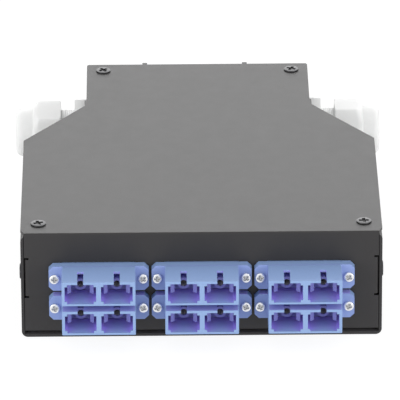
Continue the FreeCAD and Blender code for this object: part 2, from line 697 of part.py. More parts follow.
def gland_body(side):
    """Hexagon, two threaded ends and a ring of clamping claws, moulded in one."""
    out = X_AXIS * side
    inner_end = -SHEET - GLAND_INNER_LENGTH
    seal_room = SEAL_RADIUS + SEAL_CLEARANCE
    shape = turned(
        polyline([
            (inner_end, GLAND_BORE), (inner_end, GLAND_THREAD_RADIUS), (U_CLAW, GLAND_THREAD_RADIUS),
            (U_CLAW, CLAW_ROOT_RADIUS), (U_CLAW_END, CLAW_TIP_RADIUS), (U_CLAW_END, seal_room),
            (U_SEAL, seal_room), (U_SEAL, GLAND_BORE),
        ]),
        gland_point(side, 0), out,
    )
    bar = hexagon(GLAND_HEX_FLATS, gland_point(side, U_HEX), out, GLAND_HEX_THICK, -side * GLAND_HEX_TURN)
    bar = bar.common(rod(GLAND_HEX_ROUND, gland_point(side, U_HEX), out, GLAND_HEX_THICK))
    bar = bar.cut(rod(GLAND_BORE + SHEET, gland_point(side, U_HEX), out, GLAND_HEX_THICK))
    slots = []
    for i in range(CLAW_SLOTS // 2):
        half = CLAW_SLOT_WIDTH / 2
        slot = block(U_CLAW, U_CLAW_END + CLAW_LENGTH, -half, half, -CAP_NUT_ROUND, CAP_NUT_ROUND)
        slot.rotate(Vector(0, 0, 0), X_AXIS, 360 / CLAW_SLOTS * i)
        slot.Placement = FreeCAD.Placement(
            gland_point(side, 0), FreeCAD.Rotation(X_AXIS, out),
        ).multiply(slot.Placement)
        slots.append(slot)
    return join([shape, bar]).cut(slots)


def gland_cap_nut(side):
    """The cap nut: a bevelled hexagonal grip and a round collar, tapered inside to close the claws."""
    out = X_AXIS * side
    thread = GLAND_THREAD_RADIUS + CAP_NUT_THREAD_CLEARANCE
    grip_end = U_NUT + CAP_NUT_GRIP
    rounding = CAP_NUT_COLLAR_ROUND
    tip = CAP_NUT_COLLAR_RADIUS - CAP_NUT_COLLAR_TAPER
    profile = [
        (U_NUT_END, tip - rounding), (U_NUT_END, CAP_NUT_MOUTH), (U_NUT_END - CAP_NUT_FACE, CAP_NUT_MOUTH),
        (U_NUT + CAP_NUT_THREAD_DEPTH, thread), (U_NUT, thread), (U_NUT, CAP_NUT_ROUND - CAP_NUT_EDGE),
        (U_NUT + CAP_NUT_EDGE, CAP_NUT_ROUND), (grip_end - CAP_NUT_BEVEL, CAP_NUT_ROUND),
        (grip_end, CAP_NUT_ROUND - CAP_NUT_BEVEL_DEPTH), (grip_end, CAP_NUT_COLLAR_RADIUS),
        (U_NUT_END - rounding, tip),
    ]
    points = [Vector(u, r, 0) for u, r in profile]
    edges = [Part.makeLine(a, b) for a, b in zip(points, points[1:])]
    inset = rounding * (1 - math.sqrt(0.5))
    edges.append(Part.Arc(points[-1], Vector(U_NUT_END - inset, tip - inset, 0), points[0]).toShape())
    shape = turned(Part.Wire(edges), gland_point(side, 0), out)
    bar = hexagon(CAP_NUT_FLATS, gland_point(side, U_NUT), out, CAP_NUT_GRIP, CAP_NUT_TURNS[side])
    sleeve = rod(2 * CAP_NUT_ROUND, gland_point(side, U_NUT), out, CAP_NUT_GRIP).cut(bar)
    return shape.cut(sleeve)


def gland_seal(side):
    out = X_AXIS * side
    ring = rod(SEAL_RADIUS, gland_point(side, U_SEAL), out, SEAL_LENGTH)
    return ring.cut(rod(SEAL_BORES[side], gland_point(side, U_SEAL), out, SEAL_LENGTH))


def gland_locknut(side):
    inward = X_AXIS * -side
    seat = gland_point(side, -SHEET)
    nut = hexagon(LOCKNUT_FLATS, seat, inward, LOCKNUT_THICK)
    nut = nut.common(rod(LOCKNUT_ROUND, seat, inward, LOCKNUT_THICK))
    return nut.cut(rod(GLAND_THREAD_RADIUS + LOCKNUT_CLEARANCE, seat, inward, LOCKNUT_THICK))


def rail_x(x):
    return RAIL_OFFSET + x


def spring_room(x0, x1, y0, y1):
    """A window for the latch spring, through one or both plates of the clip."""
    half = SPRING_RADIUS + SPRING_WIRE / 2 + SPRING_CLEARANCE
    return block(rail_x(x0), rail_x(x1), y0, y1, Z_CLIP - half, Z_CLIP + half)


def hook_ends(x0, x1):
    """Blocks at the top and the bottom of a hook, as deep as its lip."""
    y0, y1 = Y_HOOK - CLIP_BEND_INSIDE, Y_HOOK + CLIP_SHEET
    return [
        block(x0, x1, y0, y1, CLIP_BOTTOM, CLIP_BOTTOM + HOOK_CUT),
        block(x0, x1, y0, y1, CLIP_TOP - HOOK_CUT, CLIP_TOP),
    ]


def din_bracket():
    """The plate on the rear wall, with the fixed hook folded from one edge."""
    plate_edge = rail_x(HOOK_FACE + CLIP_SHEET)
    height = Z_AXIS * (CLIP_TOP - CLIP_BOTTOM)
    plate = fold(
        Vector(plate_edge, Y_WALL, CLIP_BOTTOM), X_AXIS * -(HOOK_FACE + CLIP_SHEET + BRACKET_SPAN),
        Y_AXIS * (Y_HOOK - Y_WALL), height, CLIP_SHEET, CLIP_BEND,
    )
    lip = fold(
        Vector(plate_edge, Y_HOOK + CLIP_SHEET, CLIP_BOTTOM), X_AXIS * -(CLIP_SHEET + HOOK_REACH),
        Y_AXIS * -(2 * CLIP_SHEET), height, CLIP_SHEET, CLIP_BEND,
    )
    legs = hook_ends(rail_x(HOOK_FACE), plate_edge)
    cuts = hook_ends(rail_x(HOOK_FACE - 2 * HOOK_REACH), rail_x(HOOK_FACE))
    spring_end = SPRING_LENGTH / 2 + SPRING_CLEARANCE
    cuts.append(spring_room(-SPRING_LENGTH / 2, spring_end, Y_WALL - SHEET, Y_LATCH))
    for x, z in clip_screw_places:
        cuts.append(clip_screw_room(x, z))
    for x, z in rivet_places:
        cuts.append(rod(RIVET_RADIUS, Vector(x, Y_WALL - SHEET, z), Y_AXIS, 2 * CLIP_SHEET + SHEET))
    return join([plate, lip] + legs).cut(cuts)


def clip_screw_room(x, z):
    """The countersunk hole for one clip screw."""
    hole = CLIP_SCREW_HOLE
    head = CLIP_SCREW_HEAD_RADIUS + SCREW_HOLE_CLEARANCE
    face = Y_WALL + CLIP_SHEET
    cone = Part.makeCone(head, hole, head - hole, Vector(x, face, z), Y_AXIS * -1)
    return join([cone, rod(hole, Vector(x, face, z), Y_AXIS * -1, 2 * CLIP_SHEET)])


def clip_screws():
    screws = []
    face = Y_WALL + CLIP_SHEET
    for x, z in clip_screw_places:
        start = Vector(x, face, z)
        depth = CLIP_SCREW_HEAD_RADIUS - CLIP_SCREW_RADIUS
        head = Part.makeCone(CLIP_SCREW_HEAD_RADIUS, CLIP_SCREW_RADIUS, depth, start, Y_AXIS * -1)
        screws.append(join([head, rod(CLIP_SCREW_RADIUS, start, Y_AXIS * -1, CLIP_SCREW_LENGTH)]))
    return group(screws)


def clip_nuts():
    nuts = []
    for x, z in clip_screw_places:
        seat = Vector(x, Y_WALL - SHEET, z)
        nut = hexagon(CLIP_NUT_FLATS, seat, Y_AXIS * -1, CLIP_NUT_HEIGHT)
        nuts.append(nut.cut(rod(CLIP_SCREW_RADIUS + THREAD_CLEARANCE, seat, Y_AXIS * -1, CLIP_NUT_HEIGHT)))
    return group(nuts)


def din_latch():
    """The sliding plate: two hooks folded up beside a straight release tab."""
    edge = rail_x(-HOOK_FACE - CLIP_SHEET)
    tab_low, tab_high = Z_CLIP - LATCH_TAB_HEIGHT / 2, Z_CLIP + LATCH_TAB_HEIGHT / 2
    inner_edge = edge + CLIP_SHEET + CLIP_BEND_INSIDE
    pieces = [block(inner_edge, rail_x(LATCH_SPAN), Y_LATCH, Y_RAIL, CLIP_BOTTOM, CLIP_TOP)]
    tab = block(edge - LATCH_TAB_LENGTH, inner_edge, Y_LATCH, Y_RAIL, tab_low, tab_high)
    outer = [e for e in edges_along(tab, Y_AXIS) if e.BoundBox.XMax < edge]
    pieces.append(tab.makeFillet(LATCH_TAB_ROUND, outer))
    for low, high in ((CLIP_BOTTOM, tab_low - PRONG_GAP), (tab_high + PRONG_GAP, CLIP_TOP)):
        run = Z_AXIS * (high - low)
        pieces.append(fold(
            Vector(edge, Y_LATCH, low), X_AXIS * (CLIP_BEND + CLIP_SHEET),
            Y_AXIS * (Y_HOOK - Y_LATCH), run, CLIP_SHEET, CLIP_BEND,
        ))
        pieces.append(fold(
            Vector(edge, Y_HOOK + CLIP_SHEET, low), X_AXIS * (CLIP_SHEET + HOOK_REACH),
            Y_AXIS * -(2 * CLIP_SHEET), run, CLIP_SHEET, CLIP_BEND,
        ))
    pieces = pieces + hook_ends(edge, rail_x(-HOOK_FACE))
    cuts = hook_ends(rail_x(-HOOK_FACE), rail_x(2 * HOOK_REACH - HOOK_FACE))
    spring_end = -SPRING_LENGTH / 2 - SPRING_CLEARANCE
    cuts.append(spring_room(spring_end, SPRING_LENGTH / 2, Y_LATCH - SHEET, Y_RAIL + SHEET))
    slot_x = edge - LATCH_TAB_LENGTH + LATCH_TAB_ROUND * 2
    cuts.append(block(
        slot_x, slot_x + LATCH_TAB_SLOT_WIDTH, Y_LATCH - SHEET, Y_RAIL + SHEET,
        Z_CLIP - LATCH_TAB_SLOT / 2, Z_CLIP + LATCH_TAB_SLOT / 2,
    ))
    half = RIVET_RADIUS + RIVET_CLEARANCE
    for x, z in rivet_places:
        ends = [Vector(x + s, Y_LATCH - SHEET, z) for s in (0, LATCH_TRAVEL)]
        long_hole = block(x, x + LATCH_TRAVEL, Y_LATCH - SHEET, Y_RAIL + SHEET, z - half, z + half)
        cuts.append(join([long_hole] + [rod(half, p, Y_AXIS, CLIP_SHEET + 2 * SHEET) for p in ends]))
    return join(pieces).cut(cuts)


def din_guide_rivets():
    """Shoulder rivets that hold the latch against the bracket and let it slide."""
    rivets = []
    for x, z in rivet_places:
        shank = rod(RIVET_RADIUS, Vector(x, Y_WALL, z), Y_AXIS, Y_RAIL + LATCH_GAP - Y_WALL)
        head = rod(RIVET_HEAD_RADIUS, Vector(x, Y_RAIL + LATCH_GAP, z), Y_AXIS, RIVET_HEAD_HEIGHT)
        rivets.append(join([shank, head]))
    return group(rivets)


def din_spring():
    """The coil that pushes the latch shut, lying in the windows of the two plates."""
    length = SPRING_LENGTH - SPRING_WIRE
    helix = Part.makeHelix(length / SPRING_TURNS, length, SPRING_RADIUS)
    wire = Part.Wire(Part.makeCircle(SPRING_WIRE / 2, Vector(SPRING_RADIUS, 0, 0), Y_AXIS))
    coil = Part.Wire(helix.Edges).makePipeShell([wire], True, True)
    middle = (Y_WALL + Y_RAIL) / 2
    start = Vector(rail_x(-length / 2), middle, Z_CLIP)
    coil.Placement = FreeCAD.Placement(start, FreeCAD.Rotation(Z_AXIS, X_AXIS))
    return coil


# Heights of the tray's pieces
Z_TRAY = SHEET + TRAY_STANDOFF
Z_COVER = Z_TRAY + TRAY_HEIGHT
Z_TRAY_NUT = Z_COVER + TRAY_COVER
STUD_HOLE = STUD_RADIUS + STUD_CLEARANCE


def splice_tray():
    """A shallow moulded tray with round corners, bosses for its studs and two winding drums."""
    shell = rounded_plan(TRAY_WIDTH, TRAY_DEPTH, Y_TRAY, TRAY_ROUND, Z_TRAY, Z_COVER)
    pocket = rounded_plan(
        TRAY_WIDTH - 2 * TRAY_WALL, TRAY_DEPTH - 2 * TRAY_WALL, Y_TRAY, TRAY_ROUND - TRAY_WALL,
        Z_TRAY + TRAY_WALL, Z_COVER,
    )
    neck = TRAY_NECK / 2
    entries = []
    for side in (-1, 1):
        x = side * DRUM_SPACING / 2
        entries.append(block(x - neck, x + neck, Y_TRAY, Y_TRAY + TRAY_DEPTH, Z_TRAY + TRAY_WALL, Z_COVER))
    tray = shell.cut([pocket] + entries)
    posts = [rod(TRAY_BOSS_RADIUS, Vector(x, y, Z_TRAY), Z_AXIS, TRAY_HEIGHT) for x, y in stud_places]
    half_comb = COMB_WIDTH / 2 + COMB_CLEARANCE
    comb_room = block(
        -half_comb, half_comb, Y_TRAY - TRAY_DEPTH, Y_TRAY + TRAY_DEPTH, Z_TRAY + TRAY_WALL, CASE_HEIGHT,
    )
    for side in (-1, 1):
        centre = Vector(side * DRUM_SPACING / 2, Y_TRAY, Z_TRAY)
        ring = rod(DRUM_RADIUS, centre, Z_AXIS, TRAY_HEIGHT - TRAY_WALL)
        ring = ring.cut(rod(DRUM_RADIUS - TRAY_WALL, centre, Z_AXIS, TRAY_HEIGHT))
        posts.append(ring.cut(comb_room))
    holes = [rod(STUD_HOLE, Vector(x, y, 0), Z_AXIS, CASE_HEIGHT) for x, y in stud_places]
    return join([tray] + posts).cut(holes)


def splice_holder():
    """A comb that grips the splice protectors, on the tray's floor between the drums."""
    z0 = Z_TRAY + TRAY_WALL
    y0 = Y_TRAY - COMB_DEPTH / 2
    pieces = [block(-COMB_WIDTH / 2, COMB_WIDTH / 2, y0, y0 + COMB_DEPTH, z0, z0 + COMB_FLOOR)]
    step = (COMB_DEPTH - COMB_RIB) / COMB_SLOTS
    for i in range(COMB_SLOTS + 1):
        y = y0 + i * step
        pieces.append(block(-COMB_WIDTH / 2, COMB_WIDTH / 2, y, y + COMB_RIB, z0, z0 + COMB_HEIGHT))
    gap = block(-COMB_WIDTH / 5, COMB_WIDTH / 5, y0, y0 + COMB_DEPTH, z0 + COMB_FLOOR, z0 + 2 * COMB_HEIGHT)
    return join(pieces).cut(gap)


def tray_cover():
    sheet = rounded_plan(TRAY_WIDTH, TRAY_DEPTH, Y_TRAY, TRAY_ROUND, Z_COVER, Z_TRAY_NUT)
    return sheet.cut([rod(STUD_HOLE, Vector(x, y, Z_TRAY), Z_AXIS, CASE_HEIGHT) for x, y in stud_places])


def tray_studs():
    """Studs pressed flush into the bottom plate, each with a hexagonal standoff."""
    studs = []
    for x, y in stud_places:
        head = rod(STUD_HEAD_RADIUS, Vector(x, y, 0), Z_AXIS, SHEET)
        standoff = hexagon(STANDOFF_FLATS, Vector(x, y, SHEET), Z_AXIS, TRAY_STANDOFF)
        top = Z_TRAY_NUT + TRAY_NUT_HEIGHT + STUD_STICK_OUT
        studs.append(join([head, standoff, rod(STUD_RADIUS, Vector(x, y, SHEET), Z_AXIS, top - SHEET)]))
    return group(studs)


def tray_nuts():
    nuts = []
    for x, y in stud_places:
        seat = Vector(x, y, Z_TRAY_NUT)
        nut = hexagon(TRAY_NUT_FLATS, seat, Z_AXIS, TRAY_NUT_HEIGHT)
        nuts.append(nut.cut(rod(STUD_RADIUS + THREAD_CLEARANCE, seat, Z_AXIS, TRAY_NUT_HEIGHT)))
    return group(nuts)


nodes = {
    "base_tray": base_tray(),
    "lid": lid(),
    "lid_screws": lid_screws(),
    "lid_clinch_nuts": lid_clinch_nuts(),
    "side_screws": side_screws(),
    "side_clinch_nuts": side_clinch_nuts(),
    "adapter_screws": adapter_screws(),
    "adapter_nuts": adapter_nuts(),
    "din_bracket": din_bracket(),
    "din_latch": din_latch(),
    "din_guide_rivets": din_guide_rivets(),
    "din_spring": din_spring(),
    "clip_screws": clip_screws(),
    "clip_nuts": clip_nuts(),
    "splice_tray": splice_tray(),
    "splice_holder": splice_holder(),
    "tray_cover": tray_cover(),
    "tray_studs": tray_studs(),
    "tray_nuts": tray_nuts(),
}
housing, inserts, sleeves = adapter_housing(), latch_inserts(), ferrule_sleeves()
for place, (x, z) in adapter_places.items():
    nodes[f"adapter_{place}"] = placed(housing, x, z)
    nodes[f"latch_inserts_{place}"] = placed(inserts, x, z)
    nodes[f"ferrule_sleeves_{place}"] = placed(sleeves, x, z)
for name, side in (("left", -1), ("right", 1)):
    nodes[f"gland_washer_{name}"] = gland_washer(side)
    nodes[f"gland_body_{name}"] = gland_body(side)
    nodes[f"gland_cap_nut_{name}"] = gland_cap_nut(side)
    nodes[f"gland_seal_{name}"] = gland_seal(side)
    nodes[f"gland_locknut_{name}"] = gland_locknut(side)

os.makedirs("parts", exist_ok=True)
for name, shape in nodes.items():
    shape.exportStep(f"parts/{name}.step")
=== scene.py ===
import math

import bmesh
import bpy
import numpy as np
from mathutils import Matrix, Vector


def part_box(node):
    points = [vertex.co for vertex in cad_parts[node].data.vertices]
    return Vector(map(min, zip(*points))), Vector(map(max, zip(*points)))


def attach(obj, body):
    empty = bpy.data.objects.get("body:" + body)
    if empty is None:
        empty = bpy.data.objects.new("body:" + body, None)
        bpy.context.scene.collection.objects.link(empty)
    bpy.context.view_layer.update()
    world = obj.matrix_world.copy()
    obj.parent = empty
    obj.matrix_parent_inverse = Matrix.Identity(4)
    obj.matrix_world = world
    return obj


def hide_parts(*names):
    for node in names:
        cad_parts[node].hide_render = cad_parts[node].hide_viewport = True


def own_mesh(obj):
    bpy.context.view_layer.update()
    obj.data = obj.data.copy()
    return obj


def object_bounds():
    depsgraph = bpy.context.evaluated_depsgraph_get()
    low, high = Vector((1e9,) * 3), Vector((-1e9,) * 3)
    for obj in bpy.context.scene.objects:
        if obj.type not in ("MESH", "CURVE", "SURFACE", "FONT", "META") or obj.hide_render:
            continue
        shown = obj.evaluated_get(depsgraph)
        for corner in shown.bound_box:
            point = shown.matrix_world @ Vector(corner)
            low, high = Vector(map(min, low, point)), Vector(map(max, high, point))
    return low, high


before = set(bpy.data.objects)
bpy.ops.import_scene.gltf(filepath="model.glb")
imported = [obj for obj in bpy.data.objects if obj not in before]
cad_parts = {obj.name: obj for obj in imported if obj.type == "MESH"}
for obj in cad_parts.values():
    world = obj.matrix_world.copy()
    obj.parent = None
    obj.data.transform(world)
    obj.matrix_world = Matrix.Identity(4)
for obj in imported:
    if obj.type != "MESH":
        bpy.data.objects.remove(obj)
cad_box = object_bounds()


# The case is a folded base and a folded lid of 1 mm steel sheet.
# Both are powder coated black, which leaves a fine grain with a satin gloss.
# The lid carries the front panel, and the floor inside is painted lighter, as painted light.
FINE_GRAIN = 1.0
COARSE_GRAIN = 0.09
COARSE_WEIGHT = 0.25
GRAIN_DETAIL = 3.0


def speckle_group():
    """Two sizes of noise in Object coordinates, summed to a speckle around zero.

    Each size has its own share of the grains per metre, and the coarse one counts by its weight.
    Colour is the given colour times one plus speckle times its spread, times one less shade.
    Roughness is the given roughness plus speckle times its spread, and height is the speckle itself.
    """
    tree = bpy.data.node_groups.new("fine_speckle", "ShaderNodeTree")
    for name, kind, value in (
        ("Colour", "NodeSocketColor", (0.5, 0.5, 0.5, 1.0)),
        ("Colour spread", "NodeSocketFloat", 0.1),
        ("Roughness", "NodeSocketFloat", 0.5),
        ("Roughness spread", "NodeSocketFloat", 0.1),
        ("Grains per metre", "NodeSocketFloat", 1500.0),
        ("Stretch", "NodeSocketVector", (1.0, 1.0, 1.0)),
        ("Shade", "NodeSocketFloat", 0.0),
    ):
        tree.interface.new_socket(name, in_out="INPUT", socket_type=kind).default_value = value
    for name, kind in (
        ("Colour", "NodeSocketColor"), ("Roughness", "NodeSocketFloat"), ("Height", "NodeSocketFloat"),
    ):
        tree.interface.new_socket(name, in_out="OUTPUT", socket_type=kind)
    nodes, link = tree.nodes, tree.links.new
    given, result = nodes.new("NodeGroupInput"), nodes.new("NodeGroupOutput")
    place = nodes.new("ShaderNodeTexCoord")
    stretched = nodes.new("ShaderNodeVectorMath")
    stretched.operation = "MULTIPLY"
    link(place.outputs["Object"], stretched.inputs[0])
    link(given.outputs["Stretch"], stretched.inputs[1])

    def math_node(operation, *inputs):
        node = nodes.new("ShaderNodeMath")
        node.operation = operation
        for socket, value in zip(node.inputs, inputs):
            if isinstance(value, bpy.types.NodeSocket):
                link(value, socket)
            else:
                socket.default_value = value
        return node.outputs[0]

    layers = []
    for share in (FINE_GRAIN, COARSE_GRAIN):
        noise = nodes.new("ShaderNodeTexNoise")
        noise.inputs["Detail"].default_value = GRAIN_DETAIL
        link(stretched.outputs[0], noise.inputs["Vector"])
        link(math_node("MULTIPLY", given.outputs["Grains per metre"], share), noise.inputs["Scale"])
        layers.append(math_node("SUBTRACT", noise.outputs["Fac"], 0.5))
    speckle = math_node("MULTIPLY_ADD", layers[1], COARSE_WEIGHT, layers[0])
    lightness = math_node("MULTIPLY_ADD", speckle, given.outputs["Colour spread"], 1.0)
    lightness = math_node("MULTIPLY", lightness, math_node("SUBTRACT", 1.0, given.outputs["Shade"]))
    tinted = nodes.new("ShaderNodeVectorMath")
    tinted.operation = "SCALE"
    link(given.outputs["Colour"], tinted.inputs[0])
    link(lightness, tinted.inputs["Scale"])
    link(tinted.outputs[0], result.inputs["Colour"])
    roughness = math_node(
        "MULTIPLY_ADD", speckle, given.outputs["Roughness spread"], given.outputs["Roughness"],
    )
    link(roughness, result.inputs["Roughness"])
    link(speckle, result.inputs["Height"])
    return tree


fine_speckle = speckle_group()


def finish(name, colour, *, roughness, grain, bump, plain=None):
    """A material from the speckle group, with a bump's height in metres and plain socket values.

    Grain is the colour spread, the roughness spread, the grains per metre and their stretch.
    """
    material = bpy.data.materials.new(name)
    material.use_nodes = True
    nodes, link = material.node_tree.nodes, material.node_tree.links.new
    shader = nodes["Principled BSDF"]
    speckle = nodes.new("ShaderNodeGroup")
    speckle.node_tree = fine_speckle
    colour_spread, roughness_spread, per_metre, stretch = grain
    speckle.inputs["Colour"].default_value = (*colour, 1.0)
    speckle.inputs["Colour spread"].default_value = colour_spread
    speckle.inputs["Roughness"].default_value = roughness
    speckle.inputs["Roughness spread"].default_value = roughness_spread
    speckle.inputs["Grains per metre"].default_value = per_metre
    speckle.inputs["Stretch"].default_value = stretch
    relief = nodes.new("ShaderNodeBump")
    relief.inputs["Strength"].default_value = 1.0
    relief.inputs["Distance"].default_value = bump
    link(speckle.outputs["Colour"], shader.inputs["Base Color"])
    link(speckle.outputs["Roughness"], shader.inputs["Roughness"])
    link(speckle.outputs["Height"], relief.inputs["Height"])
    link(relief.outputs["Normal"], shader.inputs["Normal"])
    for socket, value in (plain or {}).items():
        shader.inputs[socket].default_value = value
    return material


def coat(material, *names):
    """Gives CAD nodes a material."""
    for name in names:
        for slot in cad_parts[name].material_slots:
            slot.material = material


def distance_share(material, axis, middle, none, full):
    """Zero to one as a point's distance from a middle along one axis goes from none to full."""
    nodes, link = material.node_tree.nodes, material.node_tree.links.new
    place, parts = nodes.new("ShaderNodeTexCoord"), nodes.new("ShaderNodeSeparateXYZ")
    offset, distance = nodes.new("ShaderNodeMath"), nodes.new("ShaderNodeMath")
    offset.operation, distance.operation = "SUBTRACT", "ABSOLUTE"
    offset.inputs[1].default_value = middle
    share = nodes.new("ShaderNodeMapRange")
    share.inputs["From Min"].default_value = none
    share.inputs["From Max"].default_value = full
    link(place.outputs["Object"], parts.inputs["Vector"])
    link(parts.outputs[axis], offset.inputs[0])
    link(offset.outputs[0], distance.inputs[0])
    link(distance.outputs[0], share.inputs["Value"])
    return share.outputs["Result"]


def tint(material, colour, layers):
    """Lays colours over a material's first one, each by its own share."""
    nodes, link = material.node_tree.nodes, material.node_tree.links.new
    below = None
    for share, over in layers:
        mix = nodes.new("ShaderNodeMix")
        mix.data_type = "RGBA"
        mix.inputs["A"].default_value = (*colour, 1.0)
        mix.inputs["B"].default_value = (*over, 1.0)
        if below:
            link(below, mix.inputs["A"])
        link(share, mix.inputs["Factor"])
        below = mix.outputs["Result"]
    link(below, nodes["Group"].inputs["Colour"])


EVEN = (1.0, 1.0, 1.0)
POWDER = (0.0288, 0.0274, 0.028)
POWDER_PAINTED_LIGHT = (0.1, 0.095, 0.097)
SHEET = 0.001
ON_PLANE = {"none": 0.000006, "full": 0.000003}
powder_black = finish(
    "powder_black", POWDER, roughness=0.43, grain=(0.35, 0.3, 2600.0, EVEN), bump=0.000012,
    plain={"Specular IOR Level": 0.3},
)
# Painted light: faces on the top plane of the case floor are painted lighter.
tint(powder_black, POWDER, ((distance_share(powder_black, "Z", SHEET, **ON_PLANE), POWDER_PAINTED_LIGHT),))
coat(powder_black, "base_tray", "lid")


# The case screws are low-head machine screws of black steel with a cross recess.
# Four go down through the lid and two go in through the sides, into round clinch nuts.
WELD_DISTANCE = 1e-7
SHARP_ANGLE = math.radians(32)
ROUND_STEPS = 96
HEAD_RINGS = 27
RIM_RINGS = 7
CROSS_BAR = 0.17
CROSS_ARM = 0.6
CROSS_SOFT = 0.08
CROSS_RISE = 0.4
BOWL_SOFT = 0.12


def ring_surface(name, rings, closed=False, shade=None):
    """A mesh of quads between neighbouring rings of points, for arrays of (piece, ring, point, xyz).

    The points of a ring close on themselves, closed joins a piece's last ring to its first, and the
    points that meet at a pole are welded. Shade is kept as a point attribute for the material.
    """
    pieces, rows, count, _ = rings.shape
    index = np.arange(pieces * rows * count).reshape(pieces, rows, count)
    lower = index if closed else index[:, :-1]
    upper = np.roll(index, -1, axis=1) if closed else index[:, 1:]
    quads = np.stack([lower, np.roll(lower, -1, axis=2), np.roll(upper, -1, axis=2), upper], axis=-1)
    mesh = bpy.data.meshes.new(name)
    mesh.from_pydata(rings.reshape(-1, 3).tolist(), [], quads.reshape(-1, 4).tolist())
    if shade is not None:
        mesh.attributes.new("shade", "FLOAT", "POINT").data.foreach_set("value", shade.ravel())
    form = bmesh.new()
    form.from_mesh(mesh)
    bmesh.ops.remove_doubles(form, verts=form.verts, dist=WELD_DISTANCE)
    bmesh.ops.recalc_face_normals(form, faces=form.faces)
    form.to_mesh(mesh)
    form.free()
    mesh.shade_smooth()
    mesh.set_sharp_from_angle(angle=SHARP_ANGLE)
    piece = bpy.data.objects.new(name, mesh)
    bpy.context.collection.objects.link(piece)
    return piece


def screws(
    name, seats, turns, out, side, *, shank_radius, shank_length, head_radius, head_height, dome, edge,
    recess=0.0, recess_shade=0.0, bowl_shade=0.0, cone=0.0,
):
    """Screws as surfaces of turn around the axis out, with a cross pressed into the head.

    The profile runs from the middle of a domed head over a round rim, under the head, which is flat
    or tapers over the cone's depth, and down the shank. The cross lowers the head where its two bars
    are, less towards their ends. The shade is painted: the greater of the cross's painted shade in the
    recess and of the bowl's, a disc around the cross painted darker as a dark reflection. The sizes of
    the cross and the bowl are shares of the head's radius, and each screw has its own turn in degrees.
    """
    out, side = np.array(out, float), np.array(side, float)
    across = np.cross(out, side)
    rim = np.linspace(0, math.pi / 2, RIM_RINGS)
    top = np.linspace(0, 1, HEAD_RINGS)
    reach = head_radius - edge
    r = np.concatenate([
        top * reach, reach + edge * np.sin(rim[1:]),
        [head_radius, shank_radius, shank_radius, 0],
    ])
    under = min(0.0, head_height - dome - edge)
    h = np.concatenate([
        head_height - dome * top**2, head_height - dome - edge * (1 - np.cos(rim[1:])),
        [under, under - cone, -shank_length, -shank_length],
    ])
    turn = np.linspace(0, 2 * math.pi, ROUND_STEPS, endpoint=False)
    x, y = r[:, None] * np.cos(turn), r[:, None] * np.sin(turn)
    bar, arm = head_radius * CROSS_BAR, head_radius * CROSS_ARM
    inside = np.minimum(
        np.maximum(abs(x) - bar, abs(y) - arm), np.maximum(abs(x) - arm, abs(y) - bar),
    )
    on_top = np.arange(len(r))[:, None] < len(top)
    cross = np.where(on_top, np.clip(0.5 - inside / (head_radius * CROSS_SOFT), 0, 1), 0)
    bowl_edge = np.clip(0.5 + (arm - r[:, None]) / (head_radius * BOWL_SOFT), 0, 1)
    bowl = np.where(on_top, bowl_edge, 0) + 0 * x
    shade = np.maximum(cross * recess_shade, bowl * bowl_shade)
    height = h[:, None] - recess * cross * (1 - CROSS_RISE * r[:, None] / arm)
    rings = []
    for seat, angle in zip(np.array(seats, float), np.radians(turns)):
        along_side = x * math.cos(angle) - y * math.sin(angle)
        along_across = x * math.sin(angle) + y * math.cos(angle)
        ring = along_side[..., None] * side + along_across[..., None] * across + height[..., None] * out
        rings.append(seat + ring)
    return ring_surface(name, np.array(rings), shade=np.array([shade] * len(rings)))


def shade_by_attribute(material):
    """Feeds the mesh's own shade into a material made by finish."""
    nodes = material.node_tree.nodes
    source = nodes.new("ShaderNodeAttribute")
    source.attribute_name = "shade"
    material.node_tree.links.new(source.outputs["Fac"], nodes["Group"].inputs["Shade"])


screw_low, screw_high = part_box("lid_screws")
# Painted shade: the recess shade paints each cross recess darker.
CASE_SCREW = {
    "shank_radius": 0.00145, "shank_length": 0.006, "head_radius": 0.0027, "head_height": 0.0006,
    "dome": 0.0001, "edge": 0.00025, "recess": 0.00055, "recess_shade": 0.97,
}
LID_SCREW_TURNS = (18.0, 2.0, 35.0, -25.0)
SIDE_SCREW_TURN = 20.0
REAR_SCREW_SPACING = 0.0696
front_x = screw_high[0] - CASE_SCREW["head_radius"]
front_y = screw_low[1] + CASE_SCREW["head_radius"]
rear_y = screw_high[1] - CASE_SCREW["head_radius"]
black_steel = finish(
    "black_steel", (0.058, 0.058, 0.06), roughness=0.32, grain=(0.2, 0.2, 3000.0, EVEN), bump=0.000006,
    plain={"Metallic": 1.0},
)
shade_by_attribute(black_steel)
lid_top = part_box("lid")[1][2]
lid_seats = [
    (s * x, y, lid_top)
    for x, y in ((front_x, front_y), (REAR_SCREW_SPACING / 2, rear_y))
    for s in (-1, 1)
]
lid_screws = screws("lid_screw_heads", lid_seats, LID_SCREW_TURNS, (0, 0, 1), (1, 0, 0), **CASE_SCREW)
side_low, side_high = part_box("side_screws")
side_y, side_z = (side_low[1] + side_high[1]) / 2, (side_low[2] + side_high[2]) / 2
side_seat = side_high[0] - CASE_SCREW["head_height"]
side_pieces = []
for hand, s in (("left", -1), ("right", 1)):
    seat = (s * side_seat, side_y, side_z)
    side_pieces.append(screws(
        f"side_screw_{hand}", [seat], [SIDE_SCREW_TURN], (s, 0, 0), (0, 0, 1), **CASE_SCREW,
    ))
for piece, node in (
    (lid_screws, "lid_screws"), (side_pieces[0], "side_screws"), (side_pieces[1], "side_screws"),
):
    piece.data.materials.append(black_steel)
    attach(piece, "case")
    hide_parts(node)
ROLLED = (1.0, 1.0, 6.0)
zinc_plate = finish(
    "zinc_plate", (0.6, 0.61, 0.63), roughness=0.34, grain=(0.25, 0.5, 900.0, ROLLED), bump=0.000004,
    plain={"Metallic": 1.0},
)
coat(zinc_plate, "lid_clinch_nuts", "side_clinch_nuts")
